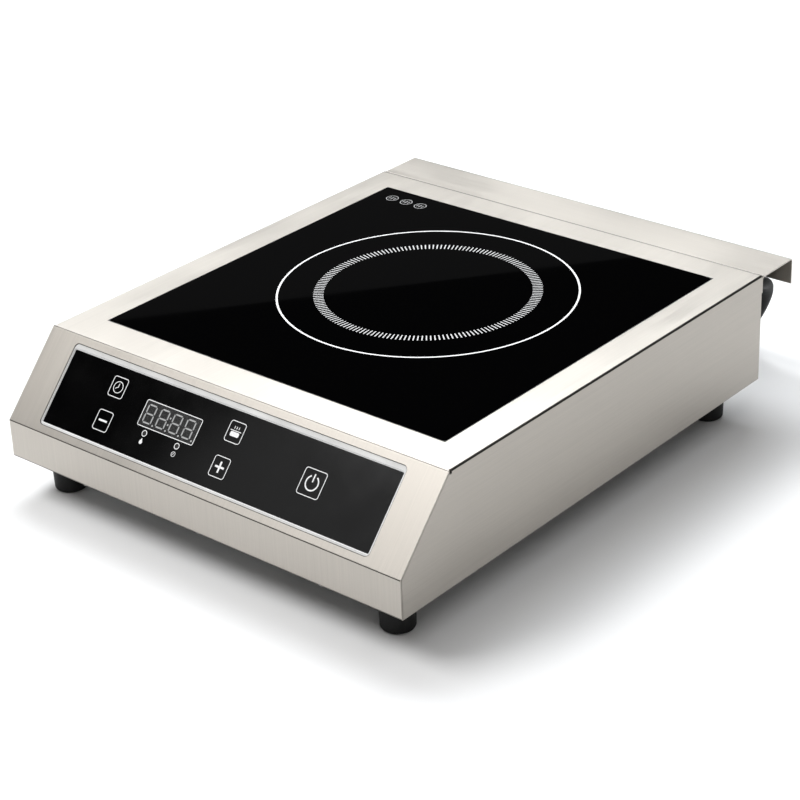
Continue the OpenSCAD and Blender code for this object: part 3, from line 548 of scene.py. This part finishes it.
def plus_symbol(mesh, place):
    minus_symbol(mesh, place)
    for low, high in ((0.65, 3.6), (-3.6, -0.65)):
        prism(mesh, stroke(0, low * MM, 0, high * MM, 1.3 * MM), 0, PRINT_T, place)


def pan_symbol(mesh, place):
    """A plain pan with a lid line and three short strokes rising from it."""
    prism(mesh, rounded(0, -1.4 * MM, 7 * MM, 3 * MM, 0.9 * MM), 0, PRINT_T, place)
    prism(mesh, stroke(-4.3 * MM, 0.8 * MM, 4.3 * MM, 0.8 * MM, LINE), 0, PRINT_T, place)
    for x in (-1.8, 0, 1.8):
        prism(mesh, stroke(x * MM, 1.9 * MM, x * MM, 3.6 * MM, LINE), 0, PRINT_T, place)


def power_symbol(mesh, place):
    prism(mesh, arc_band(0, 0, 4.6 * MM, 0.9 * MM, 118, 304), 0, PRINT_T, place)
    prism(mesh, stroke(0, 0.6 * MM, 0, 5.8 * MM, 0.9 * MM), 0, PRINT_T, place)


KEY_SYMBOLS = {
    "key_timer": clock_symbol,
    "key_minus": minus_symbol,
    "key_function": pan_symbol,
    "key_plus": plus_symbol,
    "key_power": power_symbol,
}


def key_prints():
    """Each key's rounded outline and symbol, which go down with the key."""
    for name, symbol in KEY_SYMBOLS.items():
        x, y, width, height = slope_box(name)
        place = FACE @ Matrix.Translation((x, y, 0))
        mesh = bmesh.new()
        outline_frame(mesh, place, width - 0.4 * MM, height - 0.4 * MM, 1.9 * MM, LINE)
        symbol(mesh, place)
        mesh_piece(name + "_print", mesh, WHITE_INK, name)


def drop_symbol(mesh, place):
    """A heat drop: a round foot drawn up to a point."""
    foot = circle(0, -0.5 * MM, 1.3 * MM, 20, 150, 240)
    prism(mesh, foot + [(0, 2.2 * MM)], 0, PRINT_T, place)


def lamp_prints():
    """A white ring round each indicator lamp, with a small symbol under it."""
    mesh = bmesh.new()
    middle, height, width, lens = slope_box("indicator_leds")
    reach = (width - lens) / 2
    lamps = ((middle - reach, drop_symbol, ()), (middle + reach, clock_symbol, (0.42,)))
    for x, symbol, size in lamps:
        ring = FACE @ Matrix.Translation((x, height, 0))
        band(mesh, circle(0, 0, 2.1 * MM), circle(0, 0, 1.6 * MM), 0, PRINT_T, ring)
        symbol(mesh, FACE @ Matrix.Translation((x, height - 5.3 * MM, 0)), *size)
    mesh_piece("lamp_print", mesh, WHITE_INK, "housing")


def digit_segments(mesh, place, width, height, line):
    """The seven bars of one digit, each a bar with pointed ends."""
    half = height / 2
    reach = width - 2 * line
    flat = [(0, half), (0, 0), (0, -half)]
    tall = [(s * width / 2, t * half / 2) for s in (-1, 1) for t in (-1, 1)]
    for x, y in flat:
        tip, arm = reach / 2 + line * 0.6, reach / 2
        prism(mesh, [
            (x - tip, y), (x - arm, y - line / 2), (x + arm, y - line / 2),
            (x + tip, y), (x + arm, y + line / 2), (x - arm, y + line / 2),
        ], 0, PRINT_T, place)
    arm = half / 2 - line * 0.9
    tip = half / 2 - line * 0.25
    for x, y in tall:
        prism(mesh, [
            (x, y - tip), (x + line / 2, y - arm), (x + line / 2, y + arm),
            (x, y + tip), (x - line / 2, y + arm), (x - line / 2, y - arm),
        ], 0, PRINT_T, place)


def display_print():
    """The display's white frame, and its four unlit digits with a colon and points."""
    x, y, width, height = slope_box("display_window")
    place = FACE @ Matrix.Translation((x, y, 0))
    frame_mesh = bmesh.new()
    outline_frame(frame_mesh, place, width + 1 * MM, height + 1 * MM, 1.4 * MM, LINE)
    mesh_piece("display_frame", frame_mesh, WHITE_INK, "housing")
    digits = bmesh.new()
    face = slope_face("display_window")
    pitch = width / 4.2
    for i in range(4):
        spot = SLOPE @ Matrix.Translation((x + (i - 1.5) * pitch - 0.6 * MM, y, face))
        digit_segments(digits, spot, 6.8 * MM, 11.6 * MM, 0.95 * MM)
        point = circle(pitch / 2, -6.2 * MM, 0.65 * MM, 16)
        prism(digits, point, 0, PRINT_T, spot)
    middle = SLOPE @ Matrix.Translation((x, y, face))
    for dy in (-2.2, 2.2):
        prism(digits, circle(-0.6 * MM, dy * MM, 0.65 * MM, 16), 0, PRINT_T, middle)
    mesh_piece("display_digits", digits, DIGIT_INK, "housing")


def panel_lines():
    """A dark band painted round the bezel as the shadow in its gap, and the white line printed along
    the film's edge.
    """
    x, y, width, height = slope_box("control_bezel")
    place = SLOPE @ Matrix.Translation((x, y, slope_face("control_bezel")))
    # Painted shadow: a thin dark band on the bezel's face where its recess gap would lie in shade.
    gap = bmesh.new()
    outline_frame(gap, place, width, height, 3.4 * MM, 0.4 * MM)
    mesh_piece("bezel_painted_shadow", gap, BEZEL_SHADOW_PAINT, "housing")
    x, y, width, height = slope_box("control_film")
    place = FACE @ Matrix.Translation((x, y, 0))
    edge = bmesh.new()
    outline_frame(edge, place, width - 0.1 * MM, height - 0.1 * MM, 1.3 * MM, LINE)
    mesh_piece("film_edge_print", edge, WHITE_INK, "housing")


key_prints()
lamp_prints()
display_print()
panel_lines()


# ---------------------------------------------------------------- mains cord

CORD_D = 8.6 * MM
COIL_MIDDLE = Vector((6, 235.7, 0)) * MM
COIL_R = 47.3 * MM

# The same points as in part.scad, in metres
CORD_ROUTE = [
    (0.1410, 0.1925, 0.0770), (0.1408, 0.2000, 0.0767), (0.1401, 0.2072, 0.0752),
    (0.1387, 0.2142, 0.0724), (0.1368, 0.2203, 0.0684), (0.1344, 0.2252, 0.0633),
    (0.1316, 0.2289, 0.0573), (0.1283, 0.2316, 0.0504), (0.1242, 0.2338, 0.0424),
    (0.1190, 0.2363, 0.0336), (0.1126, 0.2397, 0.0246), (0.1050, 0.2441, 0.0164),
    (0.0966, 0.2494, 0.0102), (0.0872, 0.2554, 0.0060), (0.0768, 0.2616, 0.0043),
    (0.0650, 0.2680, 0.0043), (0.0530, 0.2738, 0.0043), (0.0414, 0.2788, 0.0043),
    (0.0298, 0.2829, 0.0043), (0.0180, 0.2860, 0.0043), (0.0060, 0.2873, 0.0043),
]
TAIL_ROUTE = [
    (-0.0272, 0.2752, 0.0215), (-0.0341, 0.2694, 0.0214), (-0.0410, 0.2636, 0.0207),
    (-0.0477, 0.2580, 0.0188), (-0.0540, 0.2527, 0.0159), (-0.0594, 0.2481, 0.0137),
    (-0.0645, 0.2438, 0.0130),
]

# Places in the coil's section, in cord radii from its middle and from the floor, in order of use
COIL_SLOTS = [(1, 1), (-1, 1), (-1, 3), (1, 3), (1, 5)]
# Where the cord goes over from one place to the next, in degrees from the coil's +X side
COIL_SHIFTS = [(345, 420), (645, 705), (925, 1005), (1225, 1285)]
COIL_JOINS, COIL_LEAVES, COIL_STEP = 90, 1570, 15


def coil_place(angle):
    """How far out and how high the cord is at an angle of its winding."""
    out, up = COIL_SLOTS[0]
    for (start, end), (next_out, next_up) in zip(COIL_SHIFTS, COIL_SLOTS[1:]):
        share = min(1, max(0, (angle - start) / (end - start)))
        ease = share * share * (3 - 2 * share)
        out += (next_out - out) * ease
        up += (next_up - up) * ease
    return COIL_R + out * CORD_D / 2, up * CORD_D / 2


def coil_points():
    points = []
    angle = COIL_JOINS + COIL_STEP
    while angle < COIL_LEAVES:
        radius, height = coil_place(angle)
        turn = math.radians(angle)
        points.append(COIL_MIDDLE + Vector((
            radius * math.cos(turn), radius * math.sin(turn), height,
        )))
        angle += COIL_STEP
    return points


def mains_cord():
    """One smooth line from the strain relief, round the stored coil and into the plug."""
    data = bpy.data.curves.new("mains_cord", "CURVE")
    data.dimensions = "3D"
    data.resolution_u = 5
    data.bevel_depth = CORD_D / 2
    data.bevel_resolution = 5
    data.use_fill_caps = True
    points = [Vector(p) for p in CORD_ROUTE] + coil_points() + [Vector(p) for p in TAIL_ROUTE]
    line = data.splines.new("BEZIER")
    line.bezier_points.add(len(points) - 1)
    for knot, point in zip(line.bezier_points, points):
        knot.co = point
        knot.handle_left_type = knot.handle_right_type = "AUTO"
    cord = add_object("mains_cord", data, CORD_RUBBER, "housing")
    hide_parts("cord_tube", "cord_coil", "cord_tail")
    return cord


# The plug: the middle of its front face and its turn, as in part.scad
PLUG_AT = Vector((-108.9, 206.5, 13)) * MM
PLUG_PLACE = Matrix.Translation(PLUG_AT) @ Matrix.Rotation(math.radians(40), 4, "Z")


def lathe(mesh, profile, place, count=48):
    """A closed shape turned about its own X axis from (along, radius) points, ends on the axis."""
    rings = []
    for along, radius in profile:
        if radius == 0:
            rings.append([mesh.verts.new(place @ Vector((along, 0, 0)))])
            continue
        rings.append([
            mesh.verts.new(place @ Vector((along, y, z))) for y, z in circle(0, 0, radius, count)
        ])
    for a, b in zip(rings, rings[1:]):
        for i in range(count):
            j = (i + 1) % count
            corners = [a[i % len(a)], a[j % len(a)], b[j % len(b)], b[i % len(b)]]
            mesh.faces.new(list(dict.fromkeys(corners)))


def ribbed_tail(start, ribs, pitch, radius, fall):
    """Profile of a ribbed, tapering tail."""
    profile = []
    for i in range(ribs):
        along = start + i * pitch
        ridge = radius - fall * i / ribs
        profile += [
            (along, ridge), (along + pitch * 0.55, ridge - 0.2 * MM),
            (along + pitch * 0.6, ridge - 1.1 * MM), (along + pitch * 0.95, ridge - 1.1 * MM),
        ]
    return profile


def smooth_shade(piece, angle=35):
    piece.data.polygons.foreach_set("use_smooth", [True] * len(piece.data.polygons))
    piece.data.set_sharp_from_angle(angle=math.radians(angle))


def plug():
    body = bmesh.new()
    outline = [
        (0, 0), (0, 12.2), (0.8, 13), (5.4, 13), (6, 12.7), (7.5, 12), (22, 12), (24, 11.6),
        (30, 10), (33.2, 8.4), (34, 7.4),
    ]
    profile = [(along * MM, radius * MM) for along, radius in outline]
    profile += ribbed_tail(34.6 * MM, 6, 3.8 * MM, 6.9 * MM, 1.3 * MM)
    profile += [(57.8 * MM, 4.9 * MM), (58 * MM, 4.5 * MM), (58 * MM, 0)]
    lathe(body, profile, PLUG_PLACE)
    shell = mesh_piece("plug_body", body, CORD_RUBBER, "housing")
    smooth_shade(shell)
    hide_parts("mains_plug")
    pins = bmesh.new()
    for side in (-1, 1):
        blade = PLUG_PLACE @ Matrix.Translation((0, side * 6.35 * MM, 3.5 * MM))
        across = blade @ Matrix.Rotation(math.radians(-90), 4, "Y")
        prism(pins, rounded(0, 0, 6.4 * MM, 1.5 * MM, 0.4 * MM, 4), 0, 18 * MM, across)
    earth = [(0.2, 0), (0.2, 2.4), (-18, 2.4), (-19.6, 1.6), (-20, 0)]
    lathe(pins, [(a * MM, r * MM) for a, r in earth],
          PLUG_PLACE @ Matrix.Translation((0, 0, -8 * MM)), 24)
    blades = mesh_piece("plug_pins", pins, BRASS, "housing")
    smooth_shade(blades)
    return shell, blades


cord = mains_cord()
plug_shell, plug_pins = plug()


# ---------------------------------------------------------------- floor and light

def floor():
    """A plain pale floor that fills the view."""
    g = Graph("floor_paint", (0.86, 0.86, 0.86), 0.75)
    g.rough(g.spread(g.noise(2), 0.7, 0.8))
    mesh = bmesh.new()
    bmesh.ops.create_grid(mesh, x_segments=8, y_segments=8, size=9)
    data = bpy.data.meshes.new("floor")
    mesh.to_mesh(data)
    mesh.free()
    data.materials.append(g.material)
    piece = bpy.data.objects.new("floor", data)
    piece.location.z = -0.3 * MM
    bpy.context.collection.objects.link(piece)


def soft_light(name, place, aim, width, depth, radiance, tint=(1, 1, 1)):
    """A rectangular light that faces a point, set by the brightness of its face."""
    data = bpy.data.lights.new(name, "AREA")
    data.shape = "RECTANGLE"
    data.size, data.size_y = width, depth
    data.energy = radiance * math.pi * width * depth
    data.color = tint
    light = bpy.data.objects.new(name, data)
    bpy.context.collection.objects.link(light)
    light.location = place
    light.rotation_euler = (Vector(aim) - Vector(place)).to_track_quat("-Z", "Y").to_euler()


def studio():
    """Soft studio light. The two keys stand just off the mirror directions of the glass and the film,
    so that the steel shines while those stay black, and two faint panels give them their soft glow."""
    world = bpy.data.worlds.new("studio")
    world.use_nodes = True
    background = world.node_tree.nodes["Background"]
    background.inputs["Color"].default_value = (1, 1, 1, 1)
    background.inputs["Strength"].default_value = 0.006
    bpy.context.scene.world = world
    bpy.context.scene.view_settings.view_transform = "Standard"
    soft_light("overhead", (0, 0.1, 2.4), (0, 0.1, 0), 4.2, 4.2, 0.8)
    soft_light("rear_key", (-0.95, 1.1, 1.95), (0, 0, 0.1), 2.0, 1.0, 8.6, (0.94, 0.97, 1.0))
    soft_light("slope_key", (-1.2, -0.8, 1.9), (0, -0.18, 0.08), 1.4, 0.8, 9.0)
    soft_light("glass_panel", (-1.27, 1.33, 0.67), (-0.48, 0.72, 0.6), 1.0, 0.5, 0.03)
    soft_light("film_panel", (-1.0, -1.32, 1.27), (0.12, -0.19, 0.08), 0.55, 0.5, 0.45)
    soft_light("floor_fill", (1.5, -1.3, 1.5), (0.2, -0.1, 0), 2.4, 1.8, 0.6)


floor()
studio()
